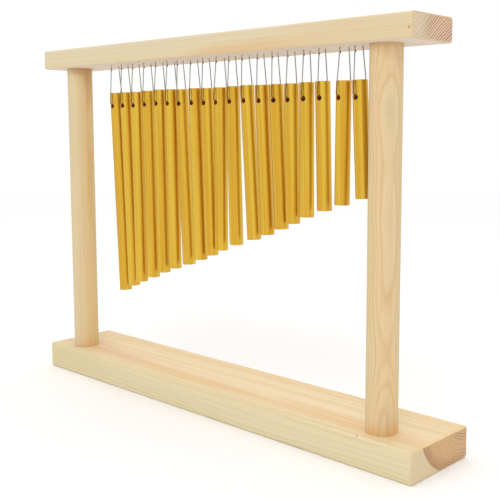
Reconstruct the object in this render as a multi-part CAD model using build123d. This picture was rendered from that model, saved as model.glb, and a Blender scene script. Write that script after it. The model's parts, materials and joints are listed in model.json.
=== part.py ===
from build123d import *

import math
import os

# Tabletop bar chimes: a pine frame of a base, two round posts and a beam, with a row of
# solid metal bars that hang on loops of thin cord below the beam.
# Millimetres. X runs along the beam from the longest bar to the shortest, Y from front to
# back, Z up. The origin is the middle of the base's underside.

# Frame boards
base_length = 430.0
base_depth = 69.8
base_thickness = 23.7
beam_end_step = 3.0
beam_depth = 46.9
beam_thickness = 17.2
beam_setback = 1.8
board_roundover = 2.0
board_end_chamfer = 1.0
clear_height = 267.3
frame_offset = 3.0

# Posts, plain dowels glued into blind sockets of both boards
post_diameter = 23.0
post_setback = 19.4
socket_depth = 10.0
socket_clearance = 0.1

# Bars
bar_diameter = 11.0
longest_bar = 179.9
bar_step = 5.45
bar_pitch = 15.5
first_bar_inset = 56.3
last_bar_inset = 23.0
bar_hole_diameter = 4.0
bar_hole_drop = 11.8
hang_drop = 23.6

# Cord loops, one for each bar
cord_diameter = 0.85
strand_spacing = 8.2
strand_standoff = 1.55
strand_inset = 1.9
cord_turn_radius = 1.2
cord_seat_clearance = 0.3

# Drilled pairs of holes in the beam, and the short stitch that joins each pair on top
drill_diameter = 2.2
drill_spacing = 8.0
drill_sides = 8
stitch_room = 2.2

overrun = 1.0

# Each bar as it hangs, from the longest to the shortest: how far its drilled pair lies off
# the even pitch, how much lower it hangs than the rest, how far its foot leans to the right,
# and how far the front of its hole is turned to the right.
nudge_pitch_shares = [
    -0.03, -0.09, -0.05, 0.0, 0.05, 0.04, -0.18, -0.05, -0.10, -0.01,
    -0.13, -0.17, -0.12, -0.14, -0.08, -0.09, -0.15, 0.16, -0.02,
]
lower_drop_shares = [
    0.033, 0.027, 0.029, 0.008, -0.015, -0.008, 0.015, 0.0, 0.012, 0.009,
    -0.008, -0.019, -0.004, -0.008, -0.005, -0.023, -0.033, -0.023, -0.017,
]
lean_degs = [
    2.5, 1.9, 0.8, 1.1, 0.7, 0.7, 2.3, 1.9, 1.5, -0.1,
    1.3, 3.3, 2.6, 2.5, 0.8, 0.2, 1.3, -0.7, 2.9,
]
turn_degs = [
    5.0, 10.6, 11.5, 7.1, 5.9, 3.9, 15.0, 6.4, 9.9, -2.5,
    8.0, 5.1, 9.1, 12.7, 4.6, 9.7, 8.8, -7.6, -2.0,
]
bar_count = len(lean_degs)

# Lengths, levels and places that follow from the sizes. The posts stand as far apart as the
# row of bars needs.
beam_length = base_length - 2 * beam_end_step
post_spacing = first_bar_inset + bar_pitch * (bar_count - 1) + last_bar_inset
beam_bottom = base_thickness + clear_height
beam_top = beam_bottom + beam_thickness
row_y = post_setback - base_depth / 2
beam_y = beam_setback + (beam_depth - base_depth) / 2
left_post_x = -frame_offset - post_spacing / 2
right_post_x = -frame_offset + post_spacing / 2
first_bar_x = left_post_x + first_bar_inset
cord_side = cord_diameter * math.sqrt(math.pi) / 2
strand_foot = bar_diameter / 2 + strand_standoff
cord_lift = bar_hole_diameter / 2 - cord_seat_clearance - cord_diameter / 2


def rounded_board(length, depth, thickness):
    """A board with its long edges rounded and its sawn ends broken by a small chamfer."""
    profile = Plane.YZ * RectangleRounded(depth, thickness, board_roundover)
    board = extrude(profile, length / 2, both=True)
    ends = board.faces().filter_by(Axis.X)
    return chamfer(ends.edges(), board_end_chamfer)


def post_socket(x, mouth_z, into):
    """The blind socket of one post, cut from mouth_z in the direction into, up or down."""
    depth = socket_depth + overrun
    middle_z = mouth_z + into * (socket_depth - depth / 2)
    return Pos(x, row_y, middle_z) * Cylinder(post_diameter / 2 + socket_clearance, depth)


def base_board():
    board = Pos(0, 0, base_thickness / 2) * rounded_board(base_length, base_depth, base_thickness)
    for x in (left_post_x, right_post_x):
        board -= post_socket(x, base_thickness, -1)
    return board


def post(x):
    height = clear_height + 2 * socket_depth
    return Pos(x, row_y, base_thickness - socket_depth + height / 2) * Cylinder(post_diameter / 2, height)


def bar_x(i):
    return first_bar_x + bar_pitch * (i + nudge_pitch_shares[i])


def bar_length(i):
    return longest_bar - bar_step * i


def bar_drop(i):
    """How far the top of bar i hangs below the beam."""
    return hang_drop * (1 + lower_drop_shares[i])


def drilled_place(i, z):
    """The middle of the drilled pair of bar i at height z, with Y turned along the pair."""
    return Pos(bar_x(i), row_y, z) * Rot(0, 0, turn_degs[i])


def hanging_place(i):
    """Where loop and bar i hang: the origin between its strands at the beam's underside, Z up
    along the bar and Y along the hole."""
    return drilled_place(i, beam_bottom) * Rot(0, -lean_degs[i], 0)


def top_beam():
    middle = Pos(-frame_offset, beam_y, beam_bottom + beam_thickness / 2)
    beam = middle * rounded_board(beam_length, beam_depth, beam_thickness)
    drill = extrude(RegularPolygon(drill_diameter / 2, drill_sides, major_radius=False), beam_thickness, both=True)
    drills = [
        drilled_place(i, beam_bottom + beam_thickness / 2) * Pos(0, side * drill_spacing / 2, 0) * drill
        for i in range(bar_count)
        for side in (-1, 1)
    ]
    beam -= drills
    for x in (left_post_x, right_post_x):
        beam -= post_socket(x, beam_bottom, 1)
    return beam


def bar(i):
    """A solid round bar with a hole right through near its top."""
    length = bar_length(i)
    hole = Rot(90, 0, 0) * Cylinder(bar_hole_diameter / 2, bar_diameter + overrun)
    rod = Cylinder(bar_diameter / 2, length) - Pos(0, 0, length / 2 - bar_hole_drop) * hole
    return hanging_place(i) * Pos(0, 0, -bar_drop(i) - length / 2) * rod


def cord_section(path):
    """The cord's section at the start of its path, a square of the round cord's area."""
    return Plane(origin=path @ 0, z_dir=path % 0, x_dir=(1, 0, 0)) * Rectangle(cord_side, cord_side)


def report_cord(name, path, tube):
    expected = cord_side ** 2 * path.length
    print(f"{name}: path {path.length:.2f} mm, volume {tube.volume:.3f}, section times length {expected:.3f}")


def cord_loop(i):
    """Loop i: down the front strand, through the bar's hole and up the back strand."""
    top = strand_spacing / 2
    seat = bar_drop(i) + bar_hole_drop - cord_lift
    points = [
        (0, -top, strand_inset),
        (0, -strand_foot, -seat),
        (0, strand_foot, -seat),
        (0, top, strand_inset),
    ]
    path = FilletPolyline(*points, radius=[cord_turn_radius, cord_turn_radius])
    tube = sweep(cord_section(path), path=path)
    report_cord(f"loop {i + 1}, corner radii {cord_turn_radius} and {cord_turn_radius} mm", path, tube)
    return hanging_place(i) * tube


def beam_stitch(i):
    """The cord over the beam's top between drilled pair i, down to just above the strands."""
    reach = drill_spacing / 2
    crown = beam_top + cord_side / 2
    foot = beam_bottom + strand_inset + stitch_room
    path = Polyline((0, -reach, foot), (0, -reach, crown), (0, reach, crown), (0, reach, foot))
    tube = sweep(cord_section(path), path=path, transition=Transition.RIGHT)
    report_cord(f"stitch {i + 1}, mitred corners", path, tube)
    return drilled_place(i, 0) * tube


os.makedirs("parts", exist_ok=True)

export_step(base_board(), "parts/base_board.step")
export_step(post(left_post_x), "parts/post_left.step")
export_step(post(right_post_x), "parts/post_right.step")
export_step(top_beam(), "parts/top_beam.step")
export_step(Compound(children=[beam_stitch(i) for i in range(bar_count)]), "parts/cord_stitches.step")
for i in range(bar_count):
    export_step(cord_loop(i), f"parts/cord_{i + 1:02d}.step")
    export_step(bar(i), f"parts/chime_{i + 1:02d}.step")
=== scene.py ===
from collections import namedtuple
import json
import math

import bpy
from mathutils import Matrix, Vector


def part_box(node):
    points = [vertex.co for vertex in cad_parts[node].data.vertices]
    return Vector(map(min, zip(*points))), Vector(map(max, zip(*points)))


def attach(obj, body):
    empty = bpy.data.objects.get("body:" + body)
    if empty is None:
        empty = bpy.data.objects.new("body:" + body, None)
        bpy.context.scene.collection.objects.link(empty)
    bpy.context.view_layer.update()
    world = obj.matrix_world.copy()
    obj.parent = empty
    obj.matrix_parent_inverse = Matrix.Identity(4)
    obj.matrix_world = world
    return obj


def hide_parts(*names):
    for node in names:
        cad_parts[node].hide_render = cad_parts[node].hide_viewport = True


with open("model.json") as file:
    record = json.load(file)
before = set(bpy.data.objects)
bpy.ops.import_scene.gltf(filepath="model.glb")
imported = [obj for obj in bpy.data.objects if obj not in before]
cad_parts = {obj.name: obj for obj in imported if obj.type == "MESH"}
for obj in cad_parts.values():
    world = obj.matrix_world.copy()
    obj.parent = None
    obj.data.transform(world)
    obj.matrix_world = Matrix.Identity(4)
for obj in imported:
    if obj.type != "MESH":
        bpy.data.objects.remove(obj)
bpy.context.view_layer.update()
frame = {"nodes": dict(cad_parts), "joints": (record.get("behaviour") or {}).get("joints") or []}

# Tabletop bar chimes, dressed: pine for the frame, gold for the bars, and for each bar a smooth
# loop of twisted cord with its knot, on a white floor. Lengths are in metres, but in millimetres
# inside the materials.

MM = 0.001

nodes = frame["nodes"]
joints = {joint["name"]: joint for joint in frame["joints"]}
bar_numbers = sorted(name[-2:] for name in nodes if name.startswith("chime_"))
beam_low, beam_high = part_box("top_beam")
base_low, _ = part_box("base_board")

# Camera, fitted to the straight edges of the boards and posts
CAMERA_PLACE = Vector((0.516552, -0.483617, 0.233708))
CAMERA_YAW = 0.740243
CAMERA_PITCH = -0.111881
CAMERA_ROLL = 0.001130
CAMERA_LENS = 60.974
CAMERA_SENSOR = 36.0
CAMERA_SHIFT = (-0.08, -0.05)
CAMERA_NEAREST = 0.01

# Bars: how far up and down the painted shade inside a hole reaches, how far out as a share of
# the bar's radius, and the bars' broken edges
BAR_DIAMETER = 11.0 * MM
HOLE_REACH = 2.4 * MM
HOLE_INSIDE_SHARE = 0.8
EDGE_BREAK = 0.25 * MM

# Cord loops: the strands' spacing at the beam, how far they stand off the bar and how far they go
# up into the beam; how far above the hole's middle the cord turns; and the control points of the
# turns, outside the corners and up the strands
CORD_DIAMETER = 0.85 * MM
STRAND_SPACING = 8.2 * MM
STRAND_STANDOFF = 1.55 * MM
STRAND_INSET = 1.9 * MM
CORD_SEAT = 1.275 * MM
TURN_OUT = 0.3 * MM
TURN_DOWN = 0.6 * MM
STRAIGHT_END = 6 * CORD_DIAMETER

# Knots on the front strands: how far below the beam, their size and turns, and how much narrower
# they are above and below than at the middle
KNOT_DROP = 3.6 * MM
KNOT_HEIGHT = 1.2 * MM
KNOT_DIAMETER = 1.6 * MM
KNOT_FORWARD = 0.1 * MM
KNOT_TURNS = 2.5
KNOT_STEPS = 20
KNOT_END_SHARE = 0.55

# Stitches over the beam: the spacing of each pair of holes, how deep the ends go into them, and
# the control points of the turns
DRILL_SPACING = 8.0 * MM
STITCH_DEPTH = 6 * CORD_DIAMETER
STITCH_TURN = 0.1 * MM
STITCH_FLAT = 2 * CORD_DIAMETER

# White surroundings: the floor's half width, its own glow from near to far, and the light of the
# world on the object
FLOOR_REACH = 6.0
FLOOR_ALBEDO = 0.93
GLOW_NEAR = 0.7
GLOW_FAR = 4.0
GLOW_FAINT = 0.03
GLOW_STRONG = 0.25
WORLD_STRENGTH = 0.86
WHITE = (1.0, 1.0, 1.0, 1.0)

# Round soft lamps: place and aim, size across and power in watts
LAMPS = {
    "key": {"place": (0.9, -1.3, 1.6), "aim": (0.0, 0.0, 0.12), "size": 1.2, "power": 9.0},
    "top": {"place": (-0.3, 0.2, 1.9), "aim": (0.0, 0.0, 0.0), "size": 1.4, "power": 7.0},
}


def srgb(red, green, blue):
    """A colour written as 0 to 255 sRGB values, in linear values."""
    def linear(value):
        value /= 255
        return value / 12.92 if value <= 0.04045 else ((value + 0.055) / 1.055) ** 2.4
    return (linear(red), linear(green), linear(blue), 1.0)


def add_to_scene(name, data):
    thing = bpy.data.objects.new(name, data)
    bpy.context.scene.collection.objects.link(thing)
    return thing


# A short way to build node trees

# A colour mix has its factor, its two colours and its result at these sockets
MIX_FACTOR, MIX_FIRST, MIX_SECOND, MIX_RESULT = 0, 6, 7, 2


class Tree:
    """Adds nodes to the node tree of a material or a world, and links them."""

    def __init__(self, owner, output):
        owner.use_nodes = True
        self.owner = owner
        self.nodes = owner.node_tree.nodes
        self.links = owner.node_tree.links
        self.nodes.clear()
        self.output = self.nodes.new(output)

    def put(self, socket, value):
        if isinstance(value, bpy.types.NodeSocket):
            self.links.new(value, socket)
        else:
            socket.default_value = value

    def add(self, kind, output=0, props=None, **inputs):
        """One output of a new node. Sockets are named with _ for each space."""
        node = self.nodes.new(kind)
        for key, value in (props or {}).items():
            setattr(node, key, value)
        for key, value in inputs.items():
            self.put(node.inputs[key.replace("_", " ")], value)
        return node.outputs[output]

    def math(self, operation, first, second=0.0, clamp=False):
        node = self.nodes.new("ShaderNodeMath")
        node.operation = operation
        node.use_clamp = clamp
        self.put(node.inputs[0], first)
        self.put(node.inputs[1], second)
        return node.outputs[0]

    def weighted(self, *parts):
        """The sum of values, each times its weight."""
        total = 0.0
        for value, weight in parts:
            total = self.math("ADD", self.math("MULTIPLY", value, weight), total)
        return total

    def vector(self, x, y, z=0.0):
        return self.add("ShaderNodeCombineXYZ", X=x, Y=y, Z=z)

    def length(self, vector):
        return self.add("ShaderNodeVectorMath", output="Value", props={"operation": "LENGTH"}, Vector=vector)

    def distance(self, place, centre):
        """How far a place of two or three values lies from a centre."""
        offsets = [self.math("SUBTRACT", value, middle) for value, middle in zip(place, centre)]
        return self.length(self.vector(*offsets))

    def coordinates(self, kind):
        """The three values of a texture coordinate."""
        node = self.nodes.new("ShaderNodeSeparateXYZ")
        self.put(node.inputs[0], self.add("ShaderNodeTexCoord", output=kind))
        return node.outputs

    def place_in_mm(self):
        """The point's place in the object's own frame, as three values in millimetres."""
        return [self.math("MULTIPLY", value, 1 / MM) for value in self.coordinates("Object")]

    def noise(self, vector, scale=1.0, detail=2.0, roughness=0.5):
        return self.add("ShaderNodeTexNoise", Vector=vector, Scale=scale, Detail=detail, Roughness=roughness)

    def drawn_noise(self, place, rates, detail, roughness=0.5):
        """Noise that changes rates[0], rates[1] and rates[2] times a millimetre along the three axes."""
        scaled = [self.math("MULTIPLY", value, rate) for value, rate in zip(place, rates)]
        return self.noise(self.vector(*scaled), detail=detail, roughness=roughness)

    def centred(self, noise, size):
        """A noise of 0 to 1 as a length that swings by size about zero."""
        return self.math("MULTIPLY", self.math("SUBTRACT", noise, 0.5), size)

    def ramp(self, factor, stops):
        """A colour ramp of (place, colour or grey) stops."""
        node = self.nodes.new("ShaderNodeValToRGB")
        ramp = node.color_ramp
        while len(ramp.elements) < len(stops):
            ramp.elements.new(1.0)
        for element, (place, value) in zip(ramp.elements, stops):
            element.position = place
            element.color = value if isinstance(value, tuple) else (value, value, value, 1.0)
        self.put(node.inputs[0], factor)
        return node.outputs[0]

    def span(self, value, low, high, to_low=0.0, to_high=1.0, smooth=True):
        """The value's way from low to high, as one from to_low to to_high that stops at both."""
        node = self.nodes.new("ShaderNodeMapRange")
        node.interpolation_type = "SMOOTHSTEP" if smooth else "LINEAR"
        for socket, number in zip(node.inputs, (value, low, high, to_low, to_high)):
            self.put(socket, number)
        return node.outputs[0]

    def mix(self, factor, first, second, blend="MIX"):
        node = self.nodes.new("ShaderNodeMix")
        node.data_type = "RGBA"
        node.blend_type = blend
        self.put(node.inputs[MIX_FACTOR], factor)
        self.put(node.inputs[MIX_FIRST], first)
        self.put(node.inputs[MIX_SECOND], second)
        return node.outputs[MIX_RESULT]

    def speckled(self, colour, noise, darkest, lightest):
        """The colour times a grey that goes from darkest to lightest with the noise."""
        grey = self.span(noise, 0.25, 0.75, darkest, lightest, smooth=False)
        return self.mix(1.0, colour, self.vector(grey, grey, grey), "MULTIPLY")

    def rays(self, *kinds):
        """1 for rays of any of the kinds, and 0 for the others."""
        node = self.nodes.new("ShaderNodeLightPath")
        found = node.outputs[kinds[0]]
        for kind in kinds[1:]:
            found = self.math("MAXIMUM", found, node.outputs[kind])
        return found

    def bump(self, height, strength, distance):
        return self.add("ShaderNodeBump", Height=height, Strength=strength, Distance=distance)

    def finish(self, shader):
        self.links.new(shader, self.output.inputs["Surface"])
        return self.owner

    def surface(self, **inputs):
        return self.finish(self.add("ShaderNodeBsdfPrincipled", **inputs))


def material_tree(name):
    return Tree(bpy.data.materials.new(name), "ShaderNodeOutputMaterial")


# Pine. Each noise has two rates, how often it changes across and along the grain per millimetre.

X_AXIS, Z_AXIS = 0, 2
WANDER_RATE = 0.03
RIPPLE_RATES = (0.2, 0.03)
FIBRE_RATES = (2.2, 0.05)
CLOUD_RATES = (0.16, 0.012)
BAND_RATES = (0.32, 0.004)
DASH_RATES = (1.7, 0.16)
GRIT_RATES = (3.1, 0.6)

# How far the rings wander and how fast along the grain, where a piece says nothing else
CALM_ROAM = (7.0, 0.006)

# How far ripples and clouds of tone move, and how far apart two seeds' wood lies, in millimetres
RIPPLE_SIZE = 0.9
CLOUD_SIZE = 9.0
SEED_SPACING = 1000.0

# Rings: how much their widths differ, the strength of late wood over a year's growth, and its
# share of that in the faintest year
UNEVEN_RATE = 0.3
UNEVEN_SIZE = 1.6
UNEVEN_DEPTH = 3.0
LATE_WOOD = [(0.0, 0.25), (0.12, 0.0), (0.45, 0.05), (0.75, 0.5), (0.90, 1.0), (1.0, 0.25)]
FAINTEST_YEAR = 0.45

# Long faces: the tint of warmer bands and at what noise they begin and are full, how far up a face
# looks that counts as the top or as the underside, whose tone carries painted bounce light and
# shade, and the short resin dashes
BAND_TINT = (0.96, 0.89, 0.80, 1.0)
BAND_SPAN = (0.40, 0.62)
TOP_SPAN = (0.3, 0.9)
UNDERSIDE_SPAN = (-0.5, -0.9)
DASH_SPAN = (0.68, 0.78)
DASH_STRENGTH = 0.25

# How far fibres and the grit of a sawn end darken and lighten
FIBRE_SHADES = (0.965, 1.03)
GRIT_SHADES = (0.93, 1.05)

# Sawn ends and their broken edges, by how squarely the surface cuts the grain. The edges are worn
# brown in patches, and carry painted light where they look up.
END_SPAN = (0.80, 0.92)
CORNER_SPAN = (0.25, 0.6)
WORN_SPAN = (0.35, 0.65)
WORN_STRENGTHS = (0.05, 0.5)
LIT_SPAN = (0.2, 0.6)
LIT_STRENGTH = 0.6
# EDGE_HIGHLIGHT is a painted highlight for upward broken edges; EDGE_BROWN is the worn colour, used there
# too where no highlight is given
EDGE_HIGHLIGHT = srgb(238, 206, 146)
EDGE_BROWN = srgb(196, 160, 108)

# A pin knot's orange ring and dark eye: the colour, how far out it begins and is full, in knot
# sizes, and its strength
KNOT_MARKS = [
    (srgb(206, 162, 104), 3.5, 1.0, 0.3),
    (srgb(136, 98, 62), 1.5, 0.5, 0.7),
]

# A soft streak of colour: its middle and half length along the grain, its distance from the pith
# and half width, in millimetres, and its strength. It is full within STREAK_CORE of its half sizes.
Streak = namedtuple("Streak", "middle half_length radius half_width colour strength")
STREAK_CORE = 0.25


class Grain:
    """The wood at a point: its place, all in millimetres, with its length along the grain and its
    section, the two places across; how far it lies from the pith; and how much late wood it has."""

    def __init__(self, tree, along, pith, ring, seed, roam):
        self.tree = tree
        self.place = tree.place_in_mm()
        self.length = self.place[along]
        self.section = [self.place[axis] for axis in range(len(self.place)) if axis != along]
        self.shifted = tree.math("ADD", self.length, SEED_SPACING * seed)
        self.radius = self.wandering_radius(pith, roam)
        self.late = self.late_wood(ring, seed)

    def noise(self, rates, detail, roughness=0.5):
        """Noise with its rates across and along the grain."""
        across, along = rates
        place = (*self.section, self.shifted)
        return self.tree.drawn_noise(place, (across, across, along), detail, roughness)

    def wandering_radius(self, pith, roam):
        """The distance from the pith, which wavers across and along the grain."""
        tree = self.tree
        size, rate = roam
        radius = tree.distance(self.section, pith)
        radius = tree.math("ADD", radius, tree.centred(self.noise((WANDER_RATE, rate), 0.0), size))
        return tree.math("ADD", radius, tree.centred(self.noise(RIPPLE_RATES, 1.0), RIPPLE_SIZE))

    def late_wood(self, ring, seed):
        """Late wood at the end of each ring. Rings are unevenly wide and differ by the year."""
        tree = self.tree
        ring_place = tree.vector(tree.math("MULTIPLY", self.radius, UNEVEN_RATE / ring), seed, UNEVEN_DEPTH)
        uneven = tree.math("MULTIPLY", tree.noise(ring_place, detail=1.0), UNEVEN_SIZE)
        rings = tree.math("ADD", tree.math("DIVIDE", self.radius, ring), uneven)
        late = tree.ramp(tree.math("FRACT", rings), LATE_WOOD)
        year = tree.add("ShaderNodeTexWhiteNoise", props={"noise_dimensions": "1D"},
                        W=tree.math("FLOOR", rings))
        return tree.math("MULTIPLY", late, tree.span(year, 0.0, 1.0, FAINTEST_YEAR, 1.0, smooth=False))


def early_wood(grain, tones, streaks):
    """The tone of the long faces by distance from the pith, with its streaks."""
    tree = grain.tree
    drift = tree.math("ADD", grain.radius, tree.centred(grain.noise(CLOUD_RATES, 3.0, 0.55), CLOUD_SIZE))
    first, last = tones[0][0], tones[-1][0]
    stops = [((stop - first) / (last - first), colour) for stop, colour in tones]
    face = tree.ramp(tree.span(drift, first, last, smooth=False), stops)
    for streak in streaks:
        off_length = tree.math("SUBTRACT", grain.length, streak.middle)
        off_radius = tree.math("SUBTRACT", drift, streak.radius)
        gap = tree.length(tree.vector(tree.math("DIVIDE", off_length, streak.half_length),
                                      tree.math("DIVIDE", off_radius, streak.half_width)))
        face = tree.mix(tree.span(gap, 1.0, STREAK_CORE, 0.0, streak.strength), face, streak.colour)
    return face


def banded(grain, face, bands, facing_up):
    """Warmer bands on a face, as strong at the sides and on top as bands says."""
    tree = grain.tree
    strength = tree.span(facing_up, *TOP_SPAN, *bands)
    band = tree.span(grain.noise(BAND_RATES, 2.0), *BAND_SPAN)
    return tree.mix(tree.math("MULTIPLY", strength, band), face, BAND_TINT, "MULTIPLY")


def with_late_wood(grain, face, late_tone, stripes):
    """Late wood on a face, and short resin dashes of the same tone."""
    tree = grain.tree
    face = tree.mix(tree.math("MULTIPLY", grain.late, stripes), face, late_tone)
    dash = tree.span(grain.noise(DASH_RATES, 1.0), *DASH_SPAN, 0.0, DASH_STRENGTH)
    return tree.mix(dash, face, late_tone)


def broken_edge(tree, face, edge, grit, squareness, facing_up):
    """A face whose edges by the sawn ends are worn brown, with painted light of the colour edge where they
    look up.
    """
    corner = tree.span(squareness, *CORNER_SPAN)
    worn = tree.math("MULTIPLY", corner, tree.span(grit, *WORN_SPAN, *WORN_STRENGTHS))
    lit = tree.math("MULTIPLY", corner, tree.span(facing_up, *LIT_SPAN, 0.0, LIT_STRENGTH))
    return tree.mix(lit, tree.mix(worn, face, EDGE_BROWN), edge)


def with_pin_knots(grain, colour, knots):
    tree = grain.tree
    for *middle, size in knots:
        gap = tree.distance(grain.place, middle)
        for tone, begins, full, strength in KNOT_MARKS:
            colour = tree.mix(tree.span(gap, begins * size, full * size, 0.0, strength), colour, tone)
    return colour


def pine(name, along, pith, ring, seed, tones, late_tone, stripes, bands,
         roam=CALM_ROAM, streaks=(), knots=(), below=None, sawn=None, edge=EDGE_BROWN):
    """Pine with growth rings about a pith line, so that faces show grain and sawn ends show rings.

    along is the grain's axis. pith is where the pith line crosses the other two axes and ring is
    the rings' width, in millimetres. tones are (radius, colour) stops of the early wood. stripes
    says how strongly the late wood shows on the long faces, and bands how strongly warmer bands do
    at the sides and on top. roam is how far the rings wander, and how fast along the grain. knots
    are pin knots as (x, y, z, size). below is the underside's wood tone with painted bounce light
    and shade. sawn colours the end from its grain, and edge is the colour of the painted light on
    its upper broken edge."""
    tree = material_tree(name)
    grain = Grain(tree, along, pith, ring, seed, roam)
    fibre = grain.noise(FIBRE_RATES, 3.0, 0.6)
    grit = grain.noise(GRIT_RATES, 2.0, 0.7)
    normal = tree.coordinates("Normal")
    facing_up = normal[Z_AXIS]

    # How squarely the surface cuts the grain: 1 on a sawn end, 0 on a long face
    squareness = tree.math("ABSOLUTE", normal[along])
    end = tree.span(squareness, *END_SPAN)

    colour = banded(grain, early_wood(grain, tones, streaks), bands, facing_up)
    # The underside's wood tone with painted bounce light and shade
    if below:
        colour = tree.mix(tree.span(facing_up, *UNDERSIDE_SPAN), colour, below)
    colour = tree.speckled(with_late_wood(grain, colour, late_tone, stripes), fibre, *FIBRE_SHADES)
    if sawn:
        cut = tree.speckled(sawn(grain), grit, *GRIT_SHADES)
        colour = tree.mix(end, broken_edge(tree, colour, edge, grit, squareness, facing_up), cut)
    colour = with_pin_knots(grain, colour, knots)

    relief = tree.weighted((fibre, 0.6), (grain.late, 0.25), (tree.math("MULTIPLY", grit, end), 1.5))
    rough = tree.span(fibre, 0.2, 0.8, 0.50, 0.66, smooth=False)
    return tree.surface(Base_Color=colour, Roughness=rough, Specular_IOR_Level=0.35,
                        Normal=tree.bump(relief, 0.35, 0.12 * MM))


# The beam: its pith line lies behind and below its middle, and its end's tones change from front
# to back, at places from its middle. All in millimetres.
BEAM_PITH_BEHIND = 99.0
BEAM_PITH_BELOW = 138.0
BEAM_END_BOLD = (-16.0, -4.0)
BEAM_END_WARM = (-20.0, 6.0)
BEAM_KNOTS = [(206.0, beam_low.y / MM, 298.0, 0.6)]

beam_middle = (beam_low + beam_high) / (2 * MM)


def beam_end(grain):
    """The beam's sawn end: straight slanting rings, faint at the front and strong at the back."""
    tree, across = grain.tree, grain.section[0]
    boldness = tree.span(across, *[beam_middle.y + place for place in BEAM_END_BOLD], 0.35, 1.0)
    warmth = tree.span(across, *[beam_middle.y + place for place in BEAM_END_WARM])
    early = tree.mix(warmth, srgb(222, 202, 172), srgb(228, 194, 161))
    line = tree.span(grain.late, 0.04, 0.55)
    return tree.mix(tree.math("MULTIPLY", line, boldness), early, srgb(142, 100, 76))


def beam_pine():
    """Pale, calm grain with an orange band by the lower edge."""
    return pine(
        "pine_beam", along=X_AXIS, ring=1.85, seed=0.31,
        pith=(beam_middle.y + BEAM_PITH_BEHIND, beam_middle.z - BEAM_PITH_BELOW),
        tones=[(149, srgb(222, 204, 164)), (165, srgb(224, 206, 168)), (178, srgb(222, 206, 164)),
               (183, srgb(224, 208, 172)), (191, srgb(221, 208, 178))],
        late_tone=srgb(194, 164, 118), stripes=0.26, bands=(0.3, 0.8), roam=(4.0, 0.006),
        streaks=[Streak(-15.0, 115.0, 176.5, 6.5, srgb(219, 184, 138), 0.8),
                 Streak(68.0, 105.0, 177.0, 12.0, srgb(221, 188, 140), 0.85),
                 Streak(165.0, 95.0, 183.0, 14.0, srgb(221, 199, 158), 0.85)],
        # below: the underside's wood tone with painted bounce light and shade
        knots=BEAM_KNOTS, below=srgb(224, 208, 190), sawn=beam_end)


# The base's sawn end, in millimetres: the round border of its heartwood, how soft and how deep the
# border is, where the heartwood turns pinker across, and how near the pith its rings are bolder
HEART_MIDDLE = (15.0, 38.0)
HEART_RADIUS = 40.2
HEART_SOFTNESS = 0.8
HEART_RIM = (12.0, 1.0)
HEART_PINK = (12.0, 32.0)
HEART_BOLD = (31.0, 25.0)
BASE_PITH = (36.0, 44.0)
BASE_KNOTS = [(169.0, base_low.y / MM + 0.3, 23.2, 0.5), (193.0, -29.6, 23.7, 0.5)]


def base_end(grain):
    """The base's sawn end: brown heartwood with fine rings, and a pale wedge of sapwood in front."""
    tree = grain.tree
    border = tree.distance(grain.section, HEART_MIDDLE)
    inside = tree.span(border, HEART_RADIUS + HEART_SOFTNESS, HEART_RADIUS - HEART_SOFTNESS)
    rim = tree.span(border, *[HEART_RADIUS - depth for depth in HEART_RIM])
    heart = tree.mix(rim, srgb(214, 176, 125), srgb(192, 150, 108))
    heart = tree.mix(tree.span(grain.section[0], *HEART_PINK, 0.0, 0.5), heart, srgb(212, 172, 138))
    boldness = tree.math("ADD", tree.math("MULTIPLY", rim, 0.2), 0.46)
    near_pith = tree.span(grain.radius, *HEART_BOLD)
    boldness = tree.math("ADD", boldness, tree.math("MULTIPLY", near_pith, 0.6), clamp=True)
    line = tree.span(grain.late, 0.0, 0.8)
    heart = tree.mix(tree.math("MULTIPLY", line, boldness), heart, srgb(134, 90, 60))
    sap = tree.mix(tree.math("MULTIPLY", grain.late, 0.25), srgb(221, 201, 162), srgb(192, 166, 124))
    return tree.mix(inside, sap, heart)


def base_pine():
    """Lighter wood with a peach band along the top and two pin knots by the right post."""
    return pine(
        "pine_base", along=X_AXIS, pith=BASE_PITH, ring=1.9, seed=0.87,
        tones=[(20, srgb(236, 215, 174)), (34, srgb(237, 217, 178)), (50, srgb(238, 217, 178)),
               (61, srgb(233, 205, 160)), (65, srgb(232, 211, 169)), (72, srgb(230, 214, 174)),
               (80, srgb(225, 212, 173))],
        late_tone=srgb(198, 164, 112), stripes=0.32, bands=(0.35, 1.0),
        streaks=[Streak(-150.0, 120.0, 56.0, 14.0, srgb(224, 190, 156), 0.75),
                 Streak(-30.0, 130.0, 59.0, 12.0, srgb(228, 191, 140), 0.65),
                 Streak(140.0, 90.0, 54.0, 10.0, srgb(232, 196, 148), 0.5),
                 Streak(-190.0, 110.0, 74.0, 14.0, srgb(218, 203, 160), 0.6),
                 Streak(-215.0, 90.0, 42.0, 34.0, srgb(225, 204, 164), 0.8)],
        knots=BASE_KNOTS, sawn=base_end, edge=EDGE_HIGHLIGHT)


def left_post_pine():
    """Straight fine grain, browner towards the back right, with painted contact shade at both joints."""
    return pine(
        "pine_post_left", along=Z_AXIS, pith=(-215.6, -65.4), ring=2.2, seed=0.43,
        tones=[(47, srgb(220, 205, 168)), (55, srgb(222, 201, 160)), (62, srgb(222, 197, 152)),
               (66, srgb(222, 194, 142)), (72, srgb(222, 194, 142))],
        late_tone=srgb(192, 150, 98), stripes=0.30, bands=(0.5, 0.5),
        streaks=[Streak(290.0, 60.0, 67.0, 5.0, srgb(196, 146, 92), 0.5),
                 Streak(190.0, 70.0, 69.0, 4.0, srgb(206, 162, 92), 0.4),
                 # Painted contact shade under the beam and at the foot
                 Streak(294.0, 13.0, 60.0, 24.0, srgb(190, 142, 92), 0.7),
                 Streak(22.0, 14.0, 65.0, 14.0, srgb(220, 176, 116), 0.5)])


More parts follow.
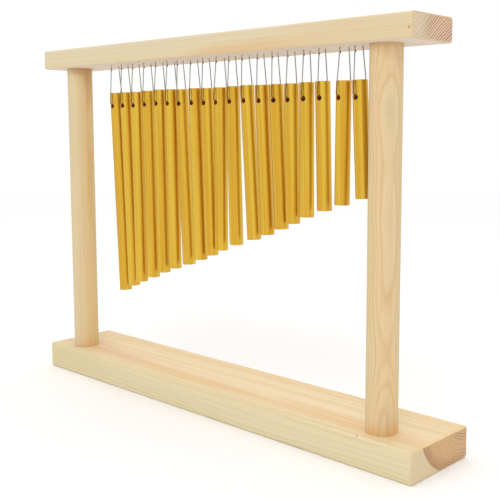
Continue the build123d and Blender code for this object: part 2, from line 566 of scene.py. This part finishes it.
def right_post_pine():
    """A long flame figure, where the rings wander in and out of the surface, with painted contact shade at
    both joints.
    """
    return pine(
        "pine_post_right", along=Z_AXIS, pith=(130.1, 23.0), ring=2.1, seed=0.635,
        tones=[(48, srgb(220, 202, 160)), (62, srgb(222, 201, 157)), (68, srgb(224, 198, 152)),
               (71, srgb(224, 197, 152)), (74, srgb(219, 199, 158))],
        late_tone=srgb(184, 140, 88), stripes=0.46, bands=(0.5, 0.5), roam=(9.5, 0.015),
        # Painted contact shade under the beam and at the foot
        streaks=[Streak(294.0, 9.0, 62.0, 24.0, srgb(196, 152, 102), 0.6),
                 Streak(22.0, 15.0, 71.0, 9.0, srgb(226, 172, 104), 0.6)])


# Metal: how often its drawn lines change along x, y and z, per millimetre; how fine the painted
# reflection's orange streaks about a bar are, and how they shift from bar to bar and along a bar;
# and how fine the mottling of the painted shade in a hole is
DRAWN_RATES = (1.6, 1.6, 0.02)
REFLECTION_SCALE = 1.5
REFLECTION_SHIFT_ACROSS = 0.05
REFLECTION_SHIFT_ALONG = 0.003
SHADE_MOTTLE_SCALE = 1.3

# Cord: the slant and closeness of its lay, how fine its fuzz is, and the height of the bars' tops,
# below which it gets a painted gold-brown shade, in millimetres
LAY_SLANT = 0.8
LAY_RATE = 9.0
FUZZ_SCALE = 3.0
BAR_TOPS_HEIGHT = 267.5
BAR_SHADE_SOFTNESS = 1.0


def gold_metal():
    """Satin gold anodised metal, drawn along the bar, with a painted reflection: orange streaks that follow
    its sides.
    """
    tree = material_tree("gold_metal")
    x, y, z = tree.place_in_mm()
    drawn = tree.drawn_noise((x, y, z), DRAWN_RATES, 3.0, 0.6)
    normal = tree.coordinates("Normal")
    # Painted reflection of the neighbouring bars and posts: orange streaks set by the way the surface faces
    shift = tree.weighted((x, REFLECTION_SHIFT_ACROSS), (z, REFLECTION_SHIFT_ALONG))
    painted_reflection = tree.noise(tree.vector(normal[0], normal[1], shift), REFLECTION_SCALE)
    colour = tree.mix(tree.span(painted_reflection, 0.40, 0.60), srgb(223, 184, 66), srgb(213, 162, 48))
    colour = tree.mix(tree.span(drawn, 0.3, 0.8, 0.0, 0.25), colour, srgb(230, 198, 92))
    rough = tree.span(drawn, 0.2, 0.8, 0.27, 0.40, smooth=False)
    return tree.surface(Base_Color=colour, Metallic=0.92, Roughness=rough,
                        Normal=tree.bump(drawn, 0.10, 0.05 * MM))


def painted_hole_shade():
    """The inside of a bar's hole: painted shade, dark brown and mottled."""
    tree = material_tree("painted_hole_shade")
    shade_mottle = tree.noise(tree.vector(*tree.place_in_mm()), SHADE_MOTTLE_SCALE, 3.0, 0.6)
    colour = tree.mix(shade_mottle, srgb(196, 108, 50), srgb(140, 74, 34))
    return tree.surface(Base_Color=colour, Roughness=0.8, Specular_IOR_Level=0.2,
                        Normal=tree.bump(shade_mottle, 0.3, 0.1 * MM))


def twisted_cord(name, light, dark, painted_bar_shade):
    """Thin twisted cord: fine slanting yarns of two tones, with a painted gold-brown shade below the bars'
    tops.
    """
    tree = material_tree(name)
    x, y, z = tree.place_in_mm()
    slanted = tree.math("ADD", z, tree.math("MULTIPLY", x, LAY_SLANT))
    lay = tree.math("SINE", tree.math("MULTIPLY", slanted, LAY_RATE))
    fuzz = tree.noise(tree.vector(x, y, z), FUZZ_SCALE, 3.0, 0.7)
    colour = tree.mix(tree.span(tree.weighted((lay, 0.25), (fuzz, 1.0)), 0.2, 0.9), dark, light)
    below_tops = tree.span(z, BAR_TOPS_HEIGHT + BAR_SHADE_SOFTNESS, BAR_TOPS_HEIGHT - BAR_SHADE_SOFTNESS)
    # Painted shade, tinted by the gold, where the cord hangs in front of the bars
    colour = tree.mix(below_tops, colour, painted_bar_shade)
    relief = tree.weighted((lay, 0.5), (fuzz, 0.4))
    return tree.surface(Base_Color=colour, Roughness=0.85, Specular_IOR_Level=0.2,
                        Normal=tree.bump(relief, 0.5, 0.08 * MM))


def hanging_frame(number):
    """Where loop number hangs: the middle of its strands at the beam, the way along the hole and
    the way up along the bar, and how far the hole lies below the beam."""
    middle = Vector(joints[f"swing_{number}"]["pos_m"])
    hole = Vector(joints[f"rock_{number}"]["pos_m"])
    back = Vector(joints[f"rock_{number}"]["axis"]).normalized()
    up = (middle - hole).normalized()
    return middle, back, up, (middle - hole).length


# The pieces that keep their own shape

def dress(name, *materials):
    mesh = nodes[name].data
    mesh.materials.clear()
    for material in materials:
        mesh.materials.append(material)


def dress_frame():
    dress("top_beam", beam_pine())
    dress("base_board", base_pine())
    dress("post_left", left_post_pine())
    dress("post_right", right_post_pine())


def dress_bars():
    """Gold on every bar, with painted shade inside its hole and softly broken edges."""
    gold, brown = gold_metal(), painted_hole_shade()
    inside = HOLE_INSIDE_SHARE * BAR_DIAMETER / 2
    for number in bar_numbers:
        name = f"chime_{number}"
        bar = nodes[name]
        dress(name, gold, brown)
        middle, _, up, drop = hanging_frame(number)
        hole = middle - up * drop
        # The faces inside the hole get the painted shade
        for face in bar.data.polygons:
            away = face.center - hole
            height = away.dot(up)
            if abs(height) < HOLE_REACH and (away - up * height).length < inside:
                face.material_index = 1
        bevel = bar.modifiers.new("edges", "BEVEL")
        bevel.width = EDGE_BREAK
        bevel.segments = 2
        bevel.limit_method = "ANGLE"


# Cord loops, knots and stitches

def nurbs_curve(name, splines, thickness, material):
    """A round cord of one smooth open line, or several, each by its control points."""
    curve = bpy.data.curves.new(name, "CURVE")
    curve.dimensions = "3D"
    curve.resolution_u = 12
    curve.bevel_depth = thickness / 2
    curve.bevel_resolution = 5
    curve.use_fill_caps = True
    for points in splines:
        spline = curve.splines.new("NURBS")
        spline.points.add(len(points) - 1)
        for point, place in zip(spline.points, points):
            point.co = (*place, 1.0)
        spline.order_u = 3
        spline.use_endpoint_u = True
    curve.materials.append(material)
    return add_to_scene(name, curve)


def cord_length(points):
    """The length of the smooth line that points control, measured on its own curve."""
    probe = nurbs_curve("probe", [points], 0.0, None)
    mesh = bpy.data.meshes.new_from_object(probe)
    places = [vertex.co.copy() for vertex in mesh.vertices]
    bpy.data.objects.remove(probe)
    return sum((b - a).length for a, b in zip(places, places[1:]))


def add_loop(number, cord_material, knot_material):
    """A bar's loop: down in front of the bar, back through its hole and up behind it."""
    middle, back, up, drop = hanging_frame(number)
    top = STRAND_SPACING / 2
    foot = BAR_DIAMETER / 2 + STRAND_STANDOFF
    seat = drop - CORD_SEAT
    outline = [
        (-top, STRAND_INSET),
        (-foot, STRAIGHT_END - seat),
        (-foot - TURN_OUT, -seat - TURN_DOWN),
        (foot + TURN_OUT, -seat - TURN_DOWN),
        (foot, STRAIGHT_END - seat),
        (top, STRAND_INSET),
    ]
    points = [middle + back * side + up * height for side, height in outline]
    loop = nurbs_curve(f"cord_loop_{number}", [points], CORD_DIAMETER, cord_material)
    knot = add_knot(number, middle, back, up, knot_material)
    for piece in (loop, knot):
        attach(piece, f"loop_{number}")
    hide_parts(f"cord_{number}")
    cord_length(points)


def add_knot(number, middle, back, up, material):
    """A small tight knot on the front strand: a few wraps of the cord about the strand, narrower
    above and below than at its middle."""
    side = back.cross(up)
    centre = middle - back * (STRAND_SPACING / 2 + KNOT_FORWARD) - up * KNOT_DROP
    wrap = (KNOT_DIAMETER - CORD_DIAMETER) / 2
    places = []
    for step in range(KNOT_STEPS + 1):
        share = step / KNOT_STEPS
        angle = 2 * math.pi * KNOT_TURNS * share
        radius = wrap * (KNOT_END_SHARE + (1 - KNOT_END_SHARE) * math.sin(math.pi * share))
        height = KNOT_HEIGHT / 2 * math.cos(math.pi * share)
        places.append(centre + (back * math.cos(angle) + side * math.sin(angle)) * radius + up * height)
    return nurbs_curve(f"knot_{number}", [places], CORD_DIAMETER, material)


def add_stitches(material):
    """The cord over the beam's top between each drilled pair of holes."""
    reach = DRILL_SPACING / 2
    crown = beam_high.z + CORD_DIAMETER / 2
    half = [
        (reach, beam_high.z - STITCH_DEPTH),
        (reach, crown - CORD_DIAMETER),
        (reach - STITCH_TURN, crown),
        (reach - STITCH_FLAT, crown),
    ]
    outline = [(-side, height) for side, height in half] + half[::-1]
    splines = []
    for number in bar_numbers:
        middle, back, _, _ = hanging_frame(number)
        splines.append([Vector((middle.x, middle.y, height)) + back * side for side, height in outline])
    stitches = nurbs_curve("cord_over_beam", splines, CORD_DIAMETER, material)
    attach(stitches, "frame")
    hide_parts("cord_stitches")


def add_cords():
    # The third colour of each is the painted shade below the bars' tops
    cord_grey = twisted_cord("cord_grey", srgb(190, 187, 179), srgb(148, 145, 136), srgb(124, 90, 56))
    knot_grey = twisted_cord("knot_grey", srgb(158, 136, 120), srgb(108, 86, 72), srgb(108, 86, 72))
    for number in bar_numbers:
        add_loop(number, cord_grey, knot_grey)
    add_stitches(cord_grey)


# Surroundings

def white_floor():
    """A pale floor. To the camera it glows too, more with distance, so that it is white, with a
    faint shadow left by the object."""
    tree = material_tree("pale_floor")
    diffuse = tree.add("ShaderNodeBsdfDiffuse", Color=(FLOOR_ALBEDO, FLOOR_ALBEDO, FLOOR_ALBEDO, 1.0))
    away = tree.length(tree.add("ShaderNodeTexCoord", output="Object"))
    glow = tree.span(away, GLOW_NEAR, GLOW_FAR, GLOW_FAINT, GLOW_STRONG, smooth=False)
    white = tree.add("ShaderNodeEmission", Color=WHITE, Strength=glow)
    both = tree.nodes.new("ShaderNodeAddShader")
    tree.put(both.inputs[0], diffuse)
    tree.put(both.inputs[1], white)
    choice = tree.nodes.new("ShaderNodeMixShader")
    tree.put(choice.inputs[0], tree.rays("Is Camera Ray"))
    tree.put(choice.inputs[1], diffuse)
    tree.put(choice.inputs[2], both.outputs[0])
    return tree.finish(choice.outputs[0])


def add_floor():
    corners = [(-FLOOR_REACH, -FLOOR_REACH), (FLOOR_REACH, -FLOOR_REACH),
               (FLOOR_REACH, FLOOR_REACH), (-FLOOR_REACH, FLOOR_REACH)]
    mesh = bpy.data.meshes.new("floor")
    mesh.from_pydata([(x, y, base_low.z) for x, y in corners], [], [(0, 1, 2, 3)])
    mesh.materials.append(white_floor())
    floor = add_to_scene("floor", mesh)


def light_world():
    """Even light from all sides, which shows as white to the camera and in gloss."""
    world = bpy.data.worlds.new("studio")
    bpy.context.scene.world = world
    tree = Tree(world, "ShaderNodeOutputWorld")
    seen = tree.rays("Is Camera Ray", "Is Glossy Ray", "Is Transmission Ray")
    level = tree.span(seen, 0.0, 1.0, WORLD_STRENGTH, 1.0, smooth=False)
    tree.finish(tree.add("ShaderNodeBackground", Color=WHITE, Strength=level))


def add_lamp(name, place, aim, size, power):
    light = bpy.data.lights.new(name, "AREA")
    light.shape = "DISK"
    light.size = size
    light.energy = power
    lamp = add_to_scene(name, light)
    lamp.location = place
    lamp.rotation_euler = (Vector(aim) - Vector(place)).to_track_quat("-Z", "Y").to_euler()


def add_camera():
    ahead = Vector((-math.sin(CAMERA_YAW) * math.cos(CAMERA_PITCH),
                    math.cos(CAMERA_YAW) * math.cos(CAMERA_PITCH), math.sin(CAMERA_PITCH)))
    right = ahead.cross(Vector((0, 0, 1))).normalized()
    up = right.cross(ahead)
    right, up = (right * math.cos(CAMERA_ROLL) + up * math.sin(CAMERA_ROLL),
                 up * math.cos(CAMERA_ROLL) - right * math.sin(CAMERA_ROLL))
    data = bpy.data.cameras.new("camera")
    data.lens = CAMERA_LENS
    data.sensor_width = CAMERA_SENSOR
    data.shift_x, data.shift_y = CAMERA_SHIFT
    data.clip_start = CAMERA_NEAREST
    camera = add_to_scene("camera", data)
    turning = Matrix((right, up, -ahead)).transposed().to_4x4()
    camera.matrix_world = Matrix.Translation(CAMERA_PLACE) @ turning
    bpy.context.scene.camera = camera


dress_frame()
dress_bars()
add_cords()

add_floor()
light_world()
for name, lamp in LAMPS.items():
    add_lamp(name, **lamp)
add_camera()
bpy.context.scene.view_settings.view_transform = "Standard"
